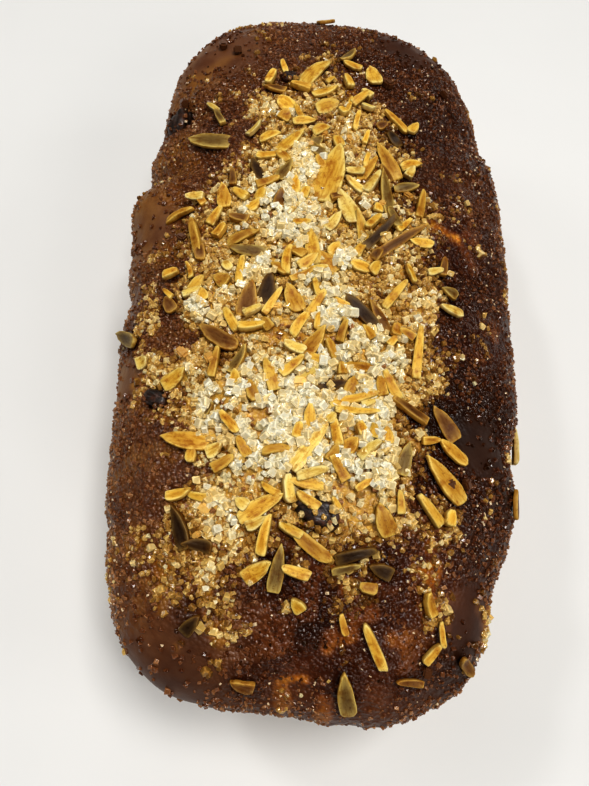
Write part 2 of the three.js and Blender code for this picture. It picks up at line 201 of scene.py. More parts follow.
# Almonds that can be told apart: x, y, heading in degrees, length, width, tone
BROAD = 2.6
SLICE_THICKNESS = 1.2
ALMONDS = (
    # far end
    (-35, 39.5, 168, 16, 5.5, "olive"), (-4, 70, 55, 16, 5, "gold"), (-14, 72, 105, 7, 1.8, "gold"),
    (-36, 56, 135, 7, 1.6, "pale"), (-33, 49, 117, 9, 2, "olive"), (-13, 54, 135, 7, 5, "gold"),
    (0, 54, 25, 8, 5, "gold"), (-1, 60.5, 25, 9, 3.5, "gold"), (-16, 61, 165, 8, 3, "brown"),
    (-11, 36, 45, 12, 3.8, "gold"), (-17, 39, 25, 7, 3, "gold"), (14.5, 70, 105, 9, 5, "gold"),
    (8, 75, 150, 7, 3, "gold"), (7, 81, 55, 8, 3.4, "olive"), (6.5, 53, 75, 7, 1.6, "gold"),
    (11.5, 40, 75, 6, 1.6, "gold"), (21, 49, 132, 11, 2, "amber"), (20, 42, 125, 7, 3, "dark"),
    (0, 112, 30, 8, 3.5, "brown"),
    # far half of the crown
    (1, 24.5, 76, 23, 8.5, "gold"), (-20, 25.5, 115, 11, 3, "dark"), (-12, 25, 60, 8, 3.5, "olive"),
    (-17, 31, 0, 8, 2, "gold"), (-9, 20, 95, 7, 3.4, "gold"), (18, 31, 115, 16, 4, "amber"),
    (12, 28, 60, 11, 3.5, "amber"), (13, 21.5, 60, 9, 2.4, "pale"), (17, 18, 98, 17, 3.5, "olive"),
    (6, 13, 118, 12, 5, "pale"), (10, 6, 100, 12, 3, "gold"), (27, 16, 80, 11, 2.2, "amber"),
    (14, 3, 50, 17, 2.6, "dark"), (20, 2, 38, 22, 2.8, "brown"), (2, 7, 55, 8, 3, "pale"),
    (-3.5, -2, 95, 14, 4.2, "gold"), (1, -6, 130, 9.5, 4.5, "amber"),
    (9.5, -7, 165, 6, 3.4, "gold"), (33, -4, 78, 7, 2.2, "brown"),
    # left side
    (-42, 12.5, 10, 10, 2, "amber"), (-36, 3, 106, 13, 2.6, "amber"), (-29, 16, 100, 9, 4, "amber"),
    (-31, 9, 60, 7, 2.5, "gold"), (-23, 2, 22, 10, 3, "amber"), (-21, -2.5, 175, 11, 3.3, "olive"),
    (-22.5, -9.5, 85, 10, 2.2, "gold"), (-10, -6, 85, 9, 2.4, "gold"),
    (-20, -18.5, 78, 11, 5, "brown"), (-15, -15, 85, 11, 4.4, "dark"),
    (-8, -18, 115, 9, 4.5, "amber"), (-23.5, -25, 122, 9, 2.5, "gold"),
    (-27, -29.5, 148, 12.5, 4.5, "brown"), (-21.5, -36, 58, 9, 3, "olive"),
    (-27, -37, 80, 8.5, 2, "amber"), (-38, -40.5, 30, 9, 4, "gold"),
    (-41.5, -18, 125, 6, 3.4, "brown"), (-54, -24.5, 159, 14, 4, "olive"),
    (-33, -57, 172, 13.5, 4.6, "amber"), (-25.5, -59.5, 30, 5, 3.6, "pale"),
    (-23, -63, 32, 7, 2.6, "amber"),
    # middle
    (-12.5, -40.5, 110, 11, 3.6, "gold"), (-7.5, -37.5, 43, 8, 2.4, "gold"),
    (-3.5, -39.5, 38, 8, 3, "pale"), (10, -20.5, 134, 13, 3.6, "dark"),
    (15, -22, 119, 11, 2.8, "brown"), (19, -15, 54, 11, 2.3, "gold"),
    (-2, -19.5, 60, 10, 2.4, "gold"), (-6, -25.5, 58, 8, 2.6, "gold"),
    (-2.5, -31, 54, 11.5, 4.2, "amber"), (10, -36.5, 175, 8.5, 2.8, "amber"),
    (3, -41.5, 8, 9, 3, "dark"), (18, -41, 118, 8.5, 2.5, "gold"),
    (25, -31.5, 84, 15.5, 2.4, "gold"), (8, -45.5, 15, 14, 2.3, "gold"),
    (23.5, -47.5, 150, 13, 2.2, "brown"), (-2, -58, 55, 16.5, 3.6, "pale"),
    (4.5, -54, 103, 7, 2.5, "gold"),
    # right side
    (33, -49.5, 130, 12, 4, "brown"), (21.5, -59.5, 75, 9, 3.6, "olive"),
    (34.5, -56, 148, 9.5, 3.6, "amber"), (32, -63.5, 135, 15, 4.8, "amber"),
    (28.5, -71, 131, 10, 2.4, "gold"), (60, -45, 85, 12, 2, "pale"), (54, -65, 110, 8, 3, "brown"),
    # near end
    (-32, -78.5, 108, 11.5, 3.6, "dark"), (-27, -82, 172, 8, 3.2, "dark"),
    (-13, -72.5, 32, 12.5, 4, "gold"), (-11.5, -79, 80, 10, 2.4, "gold"),
    (-13, -87, 35, 8.5, 4, "gold"), (-8, -86.5, 82, 12, 3.4, "olive"),
    (-1, -80, 142, 13.5, 3.4, "amber"), (-2, -66.5, 175, 10, 3, "gold"),
    (-3.5, -86.5, 165, 7, 2.6, "gold"), (10, -82, 17, 10.5, 2.6, "dark"),
    (17, -85, 160, 6.5, 3.4, "dark"), (17, -74, 112, 8.5, 4.5, "amber"),
    (-27.5, -99.5, 50, 7, 3.2, "dark"), (-14, -112, 165, 7, 3.2, "brown"),
    (10.5, -112, 99, 13, 4, "olive"), (16, -101, 115, 12, 2.4, "gold"),
    (30.5, -102, 58, 6, 2, "gold"), (39.5, -103.5, 137, 9, 2.7, "brown"),
    (25.5, -108, 168, 7, 1.6, "brown"),
)

# Smaller almonds that lie between and on them
SMALL_ALMONDS = (
    (-42, -8, 10, 5, 2.4, "gold"), (-2, 41, 30, 6, 3, "gold"), (-13, 47, 60, 5, 4, "amber"),
    (3, 37, 120, 5, 3, "gold"), (-37, 17, 170, 6, 2.4, "pale"), (-24, 16, 140, 6, 2.6, "gold"),
    (-7, 6.5, 10, 6, 2, "gold"), (2.5, -1.5, 60, 5, 3, "gold"), (9.5, -2, 60, 5, 2.5, "gold"),
    (-13.5, -19, 60, 9, 2, "gold"), (-32, -16.5, 110, 4, 3, "gold"), (-35.5, -15, 20, 6, 2, "pale"),
    (-42, -14.5, 140, 5, 1.4, "gold"), (-27.5, -12, 150, 5, 4, "amber"),
    (-12, -8.5, 150, 6, 3, "amber"), (-34, -2.5, 95, 6, 3, "brown"),
    (-47, -34.5, 10, 5, 3.5, "pale"), (-7, -32.5, 160, 6, 2.6, "pale"),
    (-17, -44.5, 110, 6, 3, "amber"), (-21.5, -41, 90, 4, 3, "gold"),
    (-1.5, -24.5, 85, 5, 1.6, "gold"), (12, -27, 130, 5, 2.7, "amber"),
    (19, -26, 90, 3.5, 2.5, "amber"), (22, -27, 150, 5, 2, "amber"),
    (15.5, -42, 100, 6, 2.5, "amber"), (9, -48.5, 2, 12, 1.8, "gold"),
    (-22, -52.5, 135, 7, 2.4, "gold"), (-10, -59, 10, 7, 2.2, "amber"),
    (28, -54, 10, 5, 2, "amber"), (10.5, -53, 120, 4, 2.6, "gold"),
    (13.5, -53.5, 80, 4, 2.4, "gold"), (17, -54, 100, 4.5, 3, "gold"), (8, -57, 40, 5, 4, "amber"),
    (3.5, -59.5, 60, 5, 2.5, "amber"), (-1, -64, 18, 8, 2.4, "pale"),
    (-6.5, -68, 100, 7, 2.6, "pale"), (12, -66, 35, 6, 1.8, "gold"),
    (20.5, -70, 92, 6.5, 1.8, "gold"), (33, -72, 80, 4, 2.6, "gold"), (8, -85, 15, 7, 1.6, "olive"),
    (-17.5, -72, 150, 4, 3, "pale"), (8.5, -97, 105, 5, 1.6, "amber"),
    (29, -91.5, 110, 6, 2.4, "amber"), (32.5, -97.5, 100, 6, 1.4, "gold"),
    (24, 27, 60, 4, 2.6, "pale"), (21.5, 7.5, 50, 7, 1.8, "gold"), (-20, 12, 40, 5, 3, "gold"),
    (-6, 16, 70, 4, 2.6, "gold"), (-2, 29, 120, 5, 2.4, "amber"),
)
# Almond feet darker from syrup and painted contact shade
FOOT_SYRUP_AND_SHADE = (0.42, 0.56, 0.72)  # how much darker each colour is at the foot of an almond
SCORCHED = ("dark", "olive", "brown")
# Darker crust round those almonds: scorching and painted shade
SCORCH_AND_SHADE = 0.22  # how much darker the crust is round such almonds
SCORCH_AND_SHADE_REACH = 5
SLIVER_THICKNESS = 0.8  # share of its width
ALMOND_RIM = ((0, 0.5), (0.5, 0.5), (0.86, 0.5), (0.96, 0.44), (1, 0.28))  # share out, share up
ALMOND_BOW = 1.2
ALMOND_ROUGHNESS = 0.15
ALMOND_RISE = 0.7
SMALL_RISE = (0.8, 1.4)
ALMOND_CLEARANCE = 2.5
ALMOND_DUST = 0.06  # share of the grains that stay on top of the almonds

# Smaller pieces by a seeded rule: those of the solids, and chips
LOOSE_ALMONDS = 8
LOOSE_SPACING = 6.5
LOOSE_SPREAD = 0.85
LOOSE_TONES = "gold amber gold pale gold brown amber gold dark olive".split()
CHIPS = 70
CHIP_SPACING = 3.4
CHIP_REACH = (14, 44)
CHIP_TONES = "gold gold pale amber gold pale brown gold amber gold olive".split()
SEED = 41
ALMOND_SEED = 23

# Raisins: node, x, y, heading, three radii, how deep the middle lies under the crust
RAISINS = (
    ("raisin_crown", 1, -73, 150, (6.2, 4.2, 3.4), 0.6),
    ("raisin_left", -49, 57, 80, (6.5, 5.0, 4.2), 0.4),
    ("raisin_brim", -58, 31, 70, (4.6, 3.4, 2.8), 0.6),
    ("raisin_flank", -43, -45, 155, (3.8, 2.8, 2.4), 0.4),
    ("raisin_far", -12, 68, 20, (2.9, 2.6, 2.3), 0.3),
)
RAISIN_FOLDS = 4
FOLD_DEPTH = 0.12
WRINKLE_DEPTH = 0.1
RAISIN_DUST = 0.05

# Kinds of sugar grain. The middle of a grain lies its lift times its size over the crust. Its shade
# along the tones is the first value plus the second times the paleness of the sugar, give or take
# the spread. The bright share of grains is painted in the palest tone as glints, and edges says how
# much painted light brightens the edges of a crystal and painted shade darkens the middles of its faces.
SUGAR_KINDS = (
    SimpleNamespace(
        name="white", count=4200, sizes=(0.7, 1.9), lift=0.25, tones=WHITE_TONES, shade=(0, 0.8),
        palest=1, spread=0.25, bright=0, roughness=0.06, clearness=0.3, edges=0.2, specular=0.6,
    ),
    SimpleNamespace(
        name="gold", count=8000, sizes=(0.9, 1.6), lift=0.1, tones=GOLD_TONES, shade=(0.1, 0.9),
        palest=1, spread=0.22, bright=0.05, roughness=0.06, clearness=0.4, edges=0.25, specular=0.6,
    ),
    SimpleNamespace(
        name="brown", count=16500, sizes=(0.5, 1.2), lift=-0.1, tones=BROWN_TONES, shade=(0.4, 0.5),
        palest=0.75, spread=0.12, bright=0.05, roughness=0.05, clearness=0.3, edges=0.2, specular=0.35,
    ),
)
GRAIN_SEED = 7
GRAIN_BEVEL = 0.14
# Grains painted as glints are this much smaller
PAINTED_GLINT_SIZE = 0.7
STACK_HEIGHT = 1.5
MELTED_SINK = 0.3
# Painted light on grains near the brim, where clear sugar glows against the light
BRIM_PAINTED_LIGHT = 0.2
# Grains darker to the right: partly browning, partly painted shade
SIDE_SHADE = 0.07
BARE_SHADE = 0.12

# Lumps of sugar, as in the solids
CLUMPS = 24
CLUMP_SIZE = (2.2, 3.6)
CLUMP_SPREAD = 0.9
CLUMP_BEVEL = 0.2
CLUMP_RISE = 0.6
CLUMP_PALE = 0.3
CLUMP_TONE = 0.42
CLUMP_SUGAR = SimpleNamespace(name="clump", roughness=0.25, clearness=0, edges=0.16, specular=0.4)

# Mesh steps
CRUST_ACROSS = 190
CRUST_ALONG = 360
WALL_STEPS = 16
ALMOND_SIDES = 22
RAISIN_SIDES = 56

# Camera: angles in degrees, millimetres, and pixels of the photo
CAMERA_HEIGHT_ANGLE = 67.48
CAMERA_ROLL = 2.67
CAMERA_AIM = (-5.84, -33.4, 65)
CAMERA_DISTANCE = 178.1
FOCAL_PIXELS = 600
PHOTO_HEIGHT = 786
SENSOR = 36

# Lights: name, place in metres, size, power, colour
LIGHTS = (
    ("key", (0.3, 0.15, 1.42), 0.36, 9.3, (1, 0.99, 0.97)),
    ("window", (-0.1, 1.3, 0.9), 0.4, 1.0, (1, 0.995, 0.98)),
    ("fill", (0.8, -1.2, 1.0), 0.45, 3.9, (1, 0.985, 0.96)),
    ("right", (1.3, -0.2, 1.0), 0.4, 2.0, (0.96, 0.98, 1)),
    ("left", (-1.2, 0.2, 1.0), 0.4, 1.9, (1, 0.985, 0.96)),
    ("glint_left", (-0.5, 0.3, 0.95), 0.1, 1.3, (1, 1, 1)),
    ("glint_right", (0.35, -0.15, 1.1), 0.1, 1.3, (1, 1, 1)),
    ("glint_near", (-0.1, -0.45, 1.05), 0.1, 1.0, (1, 1, 1)),
)
SKY_COLOUR = (1, 0.99, 0.98, 1)
SKY_LIGHT = 0.11
FLOOR_REACH = 3


def smooth(t):
    held = np.clip(t, 0, 1)
    return held * held * (3 - 2 * held)


def ramp(value, start, width):
    """0 up to the start, 1 from the given width past it, and a smooth rise between."""
    return smooth((value - start) / width)


def surface(colour):
    """Surface colour that looks like the given one, 0 to 255, under this light and contrast.

    The first step undoes the standard curve of screens, the second one the contrast.
    """
    share = np.asarray(colour, float) / 255
    shown = np.where(share <= 0.04045, share / 12.92, ((share + 0.055) / 1.055) ** 2.4)
    return GREY * (shown / GREY) ** (1 / CONTRAST) / DAYLIGHT


def tone(tones, t):
    """Colour at t, 0 to 1, along a row of tones."""
    stops = np.linspace(0, 1, len(tones))
    table = surface(tones)
    return np.stack([np.interp(t, stops, table[:, channel]) for channel in range(3)], -1)


def crystal_tone(tones, t):
    """Colour of clear crystals at t along a row of tones, no brighter than a surface can be."""
    lit = tone(tones, t) * CLEAR
    return lit / np.maximum(lit.max(axis=-1, keepdims=True) / BRIGHTEST, 1)


def make_draw(seed):
    """Seeded random draw between 0 and 1, the same as that of the solids."""
    span = 2**32
    mask = span - 1
    state = seed

    def draw():
        nonlocal state
        state = (state + 0x6D2B79F5) & mask
        mixed = ((state ^ (state >> 15)) * (1 | state)) & mask
        mixed = (mixed + ((mixed ^ (mixed >> 7)) * (61 | mixed) & mask)) & mask ^ mixed
        return (mixed ^ (mixed >> 14)) / span

    return draw


def between(draw, low, high):
    return low + (high - low) * draw()


def draw_place(draw, spread):
    """A plan place in the middle share of the loaf's length and width."""
    x = between(draw, -HALF_WIDTH, HALF_WIDTH) * spread
    y = between(draw, -HALF_LENGTH, HALF_LENGTH) * spread
    return x, y


# The surface of the loaf


def shares(x, y):
    """A plan place as shares of the half width and the half length."""
    return x / HALF_WIDTH, y / HALF_LENGTH


def corner_power(along):
    return np.where(along > 0, FAR_CORNER, NEAR_CORNER)


def plan_reach(across, along):
    """How far out a plan place lies, 1 at the edge of the loaf."""
    power = corner_power(along)
    return (np.abs(across) ** power + np.abs(along) ** power) ** (1 / power)


def outward(across, along):
    power = corner_power(along)
    reach = np.clip(plan_reach(across, along), 1e-6, 1)
    lift = (1 - reach**DOME) ** (1 / DOME)
    steepness = reach ** (DOME - power)
    sideways, lengthways = (
        np.sign(share) * np.abs(share) ** (power - 1) * steepness / half
        for share, half in ((across, HALF_WIDTH), (along, HALF_LENGTH))
    )
    normal = np.stack([sideways, lengthways, lift ** (DOME - 1) / (HEIGHT - BROW)], -1)
    return normal / np.linalg.norm(normal, axis=-1, keepdims=True)


def lattice(*cell):
    """A fixed number between -1 and 1 for each cell."""
    wave = np.sin(sum(c * w for c, w in zip(cell, LATTICE_WEIGHTS))) * LATTICE_GAIN
    return 2 * (wave - np.floor(wave)) - 1


def noise(x, y):
    """Value noise on a square lattice, -1 to 1."""
    column, row = np.floor(x), np.floor(y)
    right, up = smooth(x - column), smooth(y - row)
    low = lattice(column, row) * (1 - right) + lattice(column + 1, row) * right
    high = lattice(column, row + 1) * (1 - right) + lattice(column + 1, row + 1) * right
    return low * (1 - up) + high * up


def noise3(points):
    """Value noise in space, -1 to 1."""
    cell = np.floor(points)
    part = smooth(points - cell)
    total = 0
    for corner in np.ndindex(2, 2, 2):
        share = np.prod(np.where(corner, part, 1 - part), axis=-1)
        total = total + share * lattice(*np.moveaxis(cell + corner, -1, 0))
    return total


def mounds(x, y, forms):
    """Sum of round soft forms, each given as x, y, reach and rise."""
    return sum(
        rise * np.exp(-((x - middle_x) ** 2 + (y - middle_y) ** 2) / reach**2)
        for middle_x, middle_y, reach, rise in forms
    )


def spots(x, y, places):
    """1 in the given places, with soft borders."""
    return np.clip(sum(np.exp(-(((x - mx) ** 2 + (y - my) ** 2) / r**2) ** 2) for mx, my, r in places), 0, 1)


def along_line(x, y, line):
    """Share of the way along a line from its outer end, and the distance from it."""
    outer_x, outer_y, inner_x, inner_y = line
    run_x, run_y = inner_x - outer_x, inner_y - outer_y
    part = np.clip(((x - outer_x) * run_x + (y - outer_y) * run_y) / (run_x**2 + run_y**2), 0, 1)
    return part, np.hypot(x - outer_x - part * run_x, y - outer_y - part * run_y)


def crease(x, y, form):
    part, aside = along_line(x, y, form[:4])
    width, depth = form[4:]
    return -depth * (1 - CREASE_FADE * part) * np.exp(-((aside / width) ** 2))


def pale_lines(x, y):
    total = 0
    for form in PALE_MARKS:
        _, aside = along_line(x, y, form[:4])
        width, strength = form[4:]
        total = total + strength * np.exp(-((aside / width) ** 2))
    return total


def sugar_distance(x, y):
    """How far from the middle of the sugar a plan place lies, about 1 where the sugar ends."""
    return np.hypot((x - SUGAR_MIDDLE[0]) / SUGAR_REACH[0], (y - SUGAR_MIDDLE[1]) / SUGAR_REACH[1])


def sugar_cover(x, y):
    """How thick the sugar lies, 0 to 1."""
    return 1 - ramp(sugar_distance(x, y), 0.6, 0.7)


def relief(x, y):
    forms = mounds(x, y, SWELLS) + sum(crease(x, y, form) for form in CREASES)
    share = PLAIN_RELIEF + (1 - PLAIN_RELIEF) * sugar_cover(x, y)
    return forms + GRAIN_RISE * share * noise(x / GRAIN_CELL, y / GRAIN_CELL)


def lean(x, y, z):
    """Bends and tapers the loaf, and puts the middle of its base at the origin."""
    along = y / HALF_LENGTH
    leaned_x = x * (1 + TAPER * along) + BEND * (along**2 - BEND_LEVEL)
    leaned_y = y + SKEW * (leaned_x / HALF_WIDTH) * along**2
    return np.stack([leaned_x - MIDDLE[0], leaned_y - MIDDLE[1], z + 0 * x], -1)


def crust_point(x, y):
    across, along = shares(x, y)
    reach = np.clip(plan_reach(across, along), 0, 1)
    z = BROW + (HEIGHT - BROW) * (1 - reach**DOME) ** (1 / DOME)
    return lean(x, y, z) + outward(across, along) * relief(x, y)[..., None]


def plan_place(column, row):
    """Square step place, -1 to 1 each way, to a plan place in millimetres."""
    out = np.maximum(np.maximum(np.abs(column), np.abs(row)), 1e-9)
    across, along = column / out, row / out
    spread = np.sin(out * math.pi / 2) ** (2 / DOME) / np.maximum(plan_reach(across, along), 1e-9)
    return across * spread * HALF_WIDTH, along * spread * HALF_LENGTH


# Objects and meshes from arrays


def add_object(name, data):
    thing = bpy.data.objects.new(name, data)
    bpy.context.collection.objects.link(thing)
    return thing


def make_piece(name, points, faces, material, is_smooth=True, tints=None, grain=None, own=None):
    """A mesh object from points in millimetres and faces, with what its material reads.

    Tints are colours, grain is a number and own is a place within the small piece, for each point.
    """
    mesh = bpy.data.meshes.new(name)
    mesh.from_pydata((points * MM).tolist(), [], faces)
    if is_smooth:
        mesh.shade_smooth()
    else:
        mesh.shade_flat()
    if tints is not None:
        tints = np.c_[tints, np.ones(len(tints))]
    stored = (
        ("tint", "FLOAT_COLOR", "color", tints),
        ("grain", "FLOAT", "value", grain),
        ("own", "FLOAT_VECTOR", "vector", own),
    )
    for label, kind, field, values in stored:
        if values is not None:
            mesh.attributes.new(label, kind, "POINT").data.foreach_set(field, values.ravel())
    mesh.materials.append(material)
    piece = add_object(name, mesh)
    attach(piece, "root")
    return piece


def grid_faces(rows, columns, is_closed):
    """Quads of a grid of points with the given rows and columns, closed round the columns or not."""
    steps = columns if is_closed else columns - 1
    row, column = np.meshgrid(np.arange(rows - 1), np.arange(steps), indexing="ij")
    start = row * columns
    after = (column + 1) % columns
    quads = [start + column, start + after, start + columns + after, start + columns + column]
    return np.stack(quads, -1).reshape(-1, 4)


def join_faces(all_faces, counts):
    """Faces of several forms in one list, numbered on past the points of those before."""
    starts = np.r_[0, np.cumsum(counts)[:-1]]
    return [[index + start for index in face] for faces, start in zip(all_faces, starts) for face in faces]


# Materials


class Shader:
    """Short ways to build a node material with one principled shader."""

    def __init__(self, name, roughness, specular):
        self.material = bpy.data.materials.new(name)
        self.material.use_nodes = True
        self.nodes = self.material.node_tree.nodes
        self.principled = self.nodes["Principled BSDF"]
        self.set("Roughness", roughness)
        self.set("Specular IOR Level", specular)
        self.place = self.add("ShaderNodeTexCoord", {}, "Object")

    def set(self, socket, value):
        self.principled.inputs[socket].default_value = value

    def link(self, source, target):
        self.material.node_tree.links.new(source, target)

    def drive(self, socket, source):
        self.link(source, self.principled.inputs[socket])

    def add(self, kind, inputs, output=0, **settings):
        """Output of a new node whose inputs are values or the outputs of other nodes."""
        node = self.nodes.new(kind)
        for key, value in settings.items():
            setattr(node, key, value)
        for socket, value in inputs.items():
            if isinstance(value, bpy.types.NodeSocket):
                self.link(value, node.inputs[socket])
            else:
                node.inputs[socket].default_value = value
        return node.outputs[output]

    def read(self, name, output):
        """What the mesh holds at each point under the given name."""
        return self.add("ShaderNodeAttribute", {}, output, attribute_name=name)

    def math(self, operation, first, *others):
        """Works out a number from two or more others, one after the other."""
        for other in others:
            first = self.add("ShaderNodeMath", {0: first, 1: other}, operation=operation)
        return first

    def noise(self, size, detail, place=None):
        """Noise whose features are about size across, in millimetres unless a place is given."""
        inputs = {"Detail": detail, "Roughness": NOISE_ROUGHNESS}
        inputs["Scale"] = 1 / (size * MM) if place is None else 1 / size
        inputs["Vector"] = self.place if place is None else place
        return self.add("ShaderNodeTexNoise", inputs, "Fac")

    def cells(self, size):
        """Distance from the nearest of many points that lie about size millimetres apart."""
        inputs = {"Vector": self.place, "Scale": 1 / (size * MM)}
        return self.add("ShaderNodeTexVoronoi", inputs, "Distance", feature="F1")

    def band(self, source, low, high, to_low=0.0, to_high=1.0):
        """Turns the range from low to high smoothly into another one."""
        inputs = {"Value": source, "From Min": low, "From Max": high, "To Min": to_low, "To Max": to_high}
        return self.add("ShaderNodeMapRange", inputs, "Result", interpolation_type="SMOOTHSTEP")

    def mix(self, share, tones):
        """Colour between two tones, given as they look, by a share."""
        first, second = ((*surface(colour), 1) for colour in tones)
        return self.add("ShaderNodeMix", {0: share, 6: first, 7: second}, 2, data_type="RGBA")

    def scale_colour(self, share, source, factors):
        """Multiplies a colour by the given factors, by a share."""
        inputs = {0: share, 6: source, 7: (*factors, 1)}
        return self.add("ShaderNodeMix", inputs, 2, data_type="RGBA", blend_type="MULTIPLY")

    def bump(self, source, height):
        """Adds bump of the given height in millimetres over the bump that is there."""
        inputs = {"Distance": height * MM, "Height": source}
        target = self.principled.inputs["Normal"]
        if target.is_linked:
            inputs["Normal"] = target.links[0].from_socket
        self.link(self.add("ShaderNodeBump", inputs, "Normal"), target)


def crust_material():
    """Browned crust, glossy and beaded where sugar melted on it, with painted shade between the beads and
    painted light through the syrup.
    """
    shader = Shader("browned_crust", 0.42, 0.4)
    grain = shader.read("grain", "Fac")
    cells = shader.cells(BEAD)
    tint = shader.read("tint", "Color")
    mottled = shader.scale_colour(shader.band(shader.noise(5, 5), 0.35, 0.7), tint, CRUST_STAIN)
    # Painted shade in the gaps between the beads of melted sugar
    gap_shade = shader.math("MULTIPLY", shader.band(cells, 0.3, 0.75), grain)
    gap_shaded = shader.scale_colour(gap_shade, mottled, GAP_SHADE)
    # Painted light: amber patches where light shines through the melted sugar
    lit = shader.math("MULTIPLY", shader.band(shader.noise(1.6, 3), 0.56, 0.72), grain)
    shader.drive("Base Color", shader.scale_colour(lit, gap_shaded, SYRUP_LIGHT))
    shader.drive("Roughness", shader.band(grain, 0, 1, 0.5, 0.08))
    shader.bump(shader.noise(0.8, 5), 0.06)
    shader.bump(shader.math("MULTIPLY", shader.band(cells, 0, 0.8, 1, 0), grain), BEAD / 2)
    return shader.material


def sugar_material(kind):
    """Cloudy crystal with painted light along its edges and painted shade in the middles of its faces; the
    edges are a little rounded.
    """
    shader = Shader(f"{kind.name}_sugar", kind.roughness, kind.specular)
    shader.set("Transmission Weight", kind.clearness)
    shader.set("IOR", SUGAR_BENDING)
    own = shader.add("ShaderNodeVectorMath", {0: shader.read("own", "Vector")}, operation="ABSOLUTE")
    sides = [shader.add("ShaderNodeSeparateXYZ", {0: own}, axis) for axis in "XYZ"]
    largest = shader.math("MAXIMUM", *sides)
    smallest = shader.math("MINIMUM", *sides)
    edge = shader.math("SUBTRACT", shader.math("ADD", *sides), largest, smallest)
    # Painted light along the crystal edges and painted shade in the middles of the faces
    painted_edge_light = shader.band(edge, 0.22, 0.44, 1 - kind.edges, 1 + kind.edges)
    tint = shader.read("tint", "Color")
    lit = shader.add("ShaderNodeVectorMath", {0: tint, "Scale": painted_edge_light}, operation="SCALE")
    cloudy = shader.scale_colour(shader.band(shader.noise(0.6, 3), 0.45, 0.7), lit, CRYSTAL_STAIN)
    shader.drive("Base Color", cloudy)
    shader.bump(shader.band(edge, 0.34, 0.5, 1, 0), 0.12)
    shader.bump(shader.noise(0.4, 3), 0.04)
    return shader.material


def almond_material():
    """Toasted almond, with streaks along its length and brown flecks."""
    shader = Shader("toasted_almond", 0.45, 0.2)
    own = shader.read("own", "Vector")
    lengthwise = shader.add("ShaderNodeVectorMath", {0: own, 1: STREAK_SCALE}, operation="MULTIPLY")
    streaks = shader.noise(1, 4, lengthwise)
    toasted = shader.scale_colour(shader.band(streaks, 0.42, 0.66), shader.read("tint", "Color"), STREAK_STAIN)
    blotches = shader.band(shader.noise(3, 5), 0.5, 0.66, 0, 0.85)
    browned = shader.scale_colour(blotches, toasted, BLOTCH_STAIN)
    flecks = shader.band(shader.noise(0.6, 2), 0.6, 0.7, 0, 0.7)
    shader.drive("Base Color", shader.scale_colour(flecks, browned, FLECK_STAIN))
    shader.bump(streaks, 0.12)
    shader.bump(shader.noise(0.7, 5), 0.06)
    return shader.material


def raisin_material():
    shader = Shader("dark_raisin", 0.45, 0.3)
    shader.set("Coat Weight", 0.2)
    shader.set("Coat Roughness", 0.15)
    shader.drive("Base Color", shader.mix(shader.band(shader.noise(1.6, 5), 0.4, 0.7), RAISIN_TONES))
    shader.bump(shader.noise(0.8, 5), 0.15)
    return shader.material


# Crust


def bare(x, y):
    """1 on crust that carries no sugar."""
    return spots(x, y, BARE_CRUST)


def paleness(x, y):
    """How pale the sugar is at a plan place, 0 to 1."""
    middle = 0.5 * (1 - ramp(sugar_distance(x, y), 0.55, 0.5)) + 0.06
    broken = 0.2 * noise(x / 5, y / 5) + 0.12 * noise(x / 2.2, y / 2.2) - 0.03
    return np.clip(middle + mounds(x, y, PALE_SUGAR) + broken, 0, 1)


def scorch_and_shade(x, y):
    """How much darker the crust and its sugar are at a plan place: browning and scorching, with painted shade
    in small hollows and round the darker almonds.
    """
    dark = [(*almond[:2], SCORCH_AND_SHADE_REACH, 1) for almond in ALMONDS if almond[5] in SCORCHED]
    return mounds(x, y, DARK_CRUST) + SCORCH_AND_SHADE * np.minimum(mounds(x, y, dark), 1)


def fine_relief(x, y, points):
    """Roughness that the solids leave out, small on bare crust."""
    rough = BARE_RELIEF + (1 - BARE_RELIEF) * (1 - bare(x, y))
    return rough * (0.4 * noise3(points / 2.6) + 0.22 * noise3(points / 1.2))


def socket_dent(points):
    """Presses the crust in where the raisins sit."""
    dent = 0
    for _, x, y, _, radii, _ in RAISINS:
        middle = crust_point(np.float64(x), np.float64(y))
        dent = dent - radii[2] * np.exp(-((np.linalg.norm(points - middle, axis=-1) / radii[1]) ** 4))
    return dent


def wall_profile():
    """Height, inset and share of the crown's relief down the wall, in even steps."""
    foot = LIP + WALL_SLOPE
    known = np.array(
        [
            [BROW, 0, 1],
            [BROW - 4, 0.6, 0.8],
            [BROW - 9, LIP, 0.3],
            [BROW - 14, LIP + 0.4, 0.1],
            [BASE_ROUND, foot, 0],
            [BASE_ROUND * 0.3, foot + BASE_ROUND * 0.3, 0],
            [0, foot + BASE_ROUND, 0],
        ]
    )
    run = np.r_[0, np.cumsum(np.hypot(*np.diff(known[:, :2], axis=0).T))]
    steps = np.linspace(0, run[-1], WALL_STEPS + 1)[1:]
    return np.stack([np.interp(steps, run, known[:, k]) for k in range(3)], -1)


def edge_indices():
    """Places round the edge of the crown's grid, anticlockwise from the near left corner."""
    width = CRUST_ACROSS + 1
    near = np.arange(CRUST_ACROSS)
    right = np.arange(CRUST_ALONG) * width + CRUST_ACROSS
    far = CRUST_ALONG * width + np.arange(CRUST_ACROSS, 0, -1)
    left = np.arange(CRUST_ALONG, 0, -1) * width
    return np.r_[near, right, far, left]


def wall_rings(x, y, normals):
    rings = []
    for height, inset, share in wall_profile():
        out = share * relief(x, y) - inset
        ring = lean(x, y, height) + normals * out[:, None]
        rough = WALL_ROUGHNESS * noise3(ring / 3) * min(1, height / 4)
        rings.append(ring + normals * rough[:, None])
    return rings


